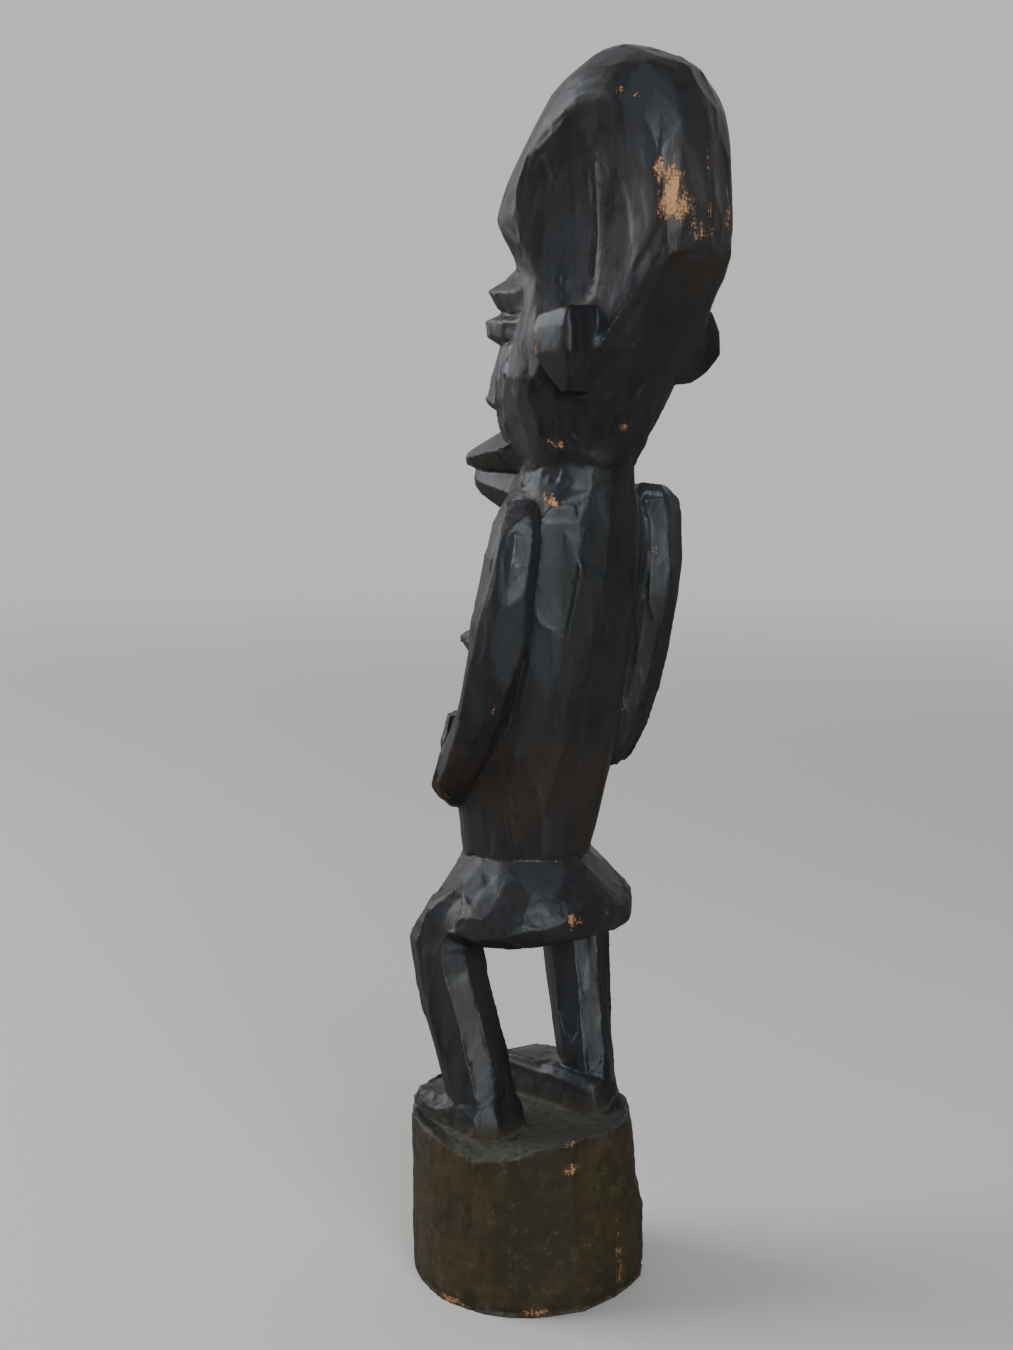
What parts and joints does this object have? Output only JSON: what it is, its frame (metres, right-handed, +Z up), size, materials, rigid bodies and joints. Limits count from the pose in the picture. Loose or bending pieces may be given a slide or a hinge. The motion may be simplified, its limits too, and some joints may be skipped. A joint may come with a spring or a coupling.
{
  "type": "carved wooden figure",
  "caption": "Standing carved wooden figure with a tall overhanging head, protruding lips and hands on its belly, cut in one piece with the short log it stands on.",
  "frame": {"origin": "centre of the log's flat underside, on the surface it stands on", "axes": "+Z up the figure to its crown, -Y to the figure's front, +X to the figure's left"},
  "size_m": [0.0915, 0.1096, 0.3955],
  "materials": {
    "stained_wood": "dark stain over knife-cut hardwood, satin, worn through to bare orange wood on some edges"
  },
  "bodies": {
    "root": {"carved_figure": "stained_wood"}
  },
  "joints": []
}
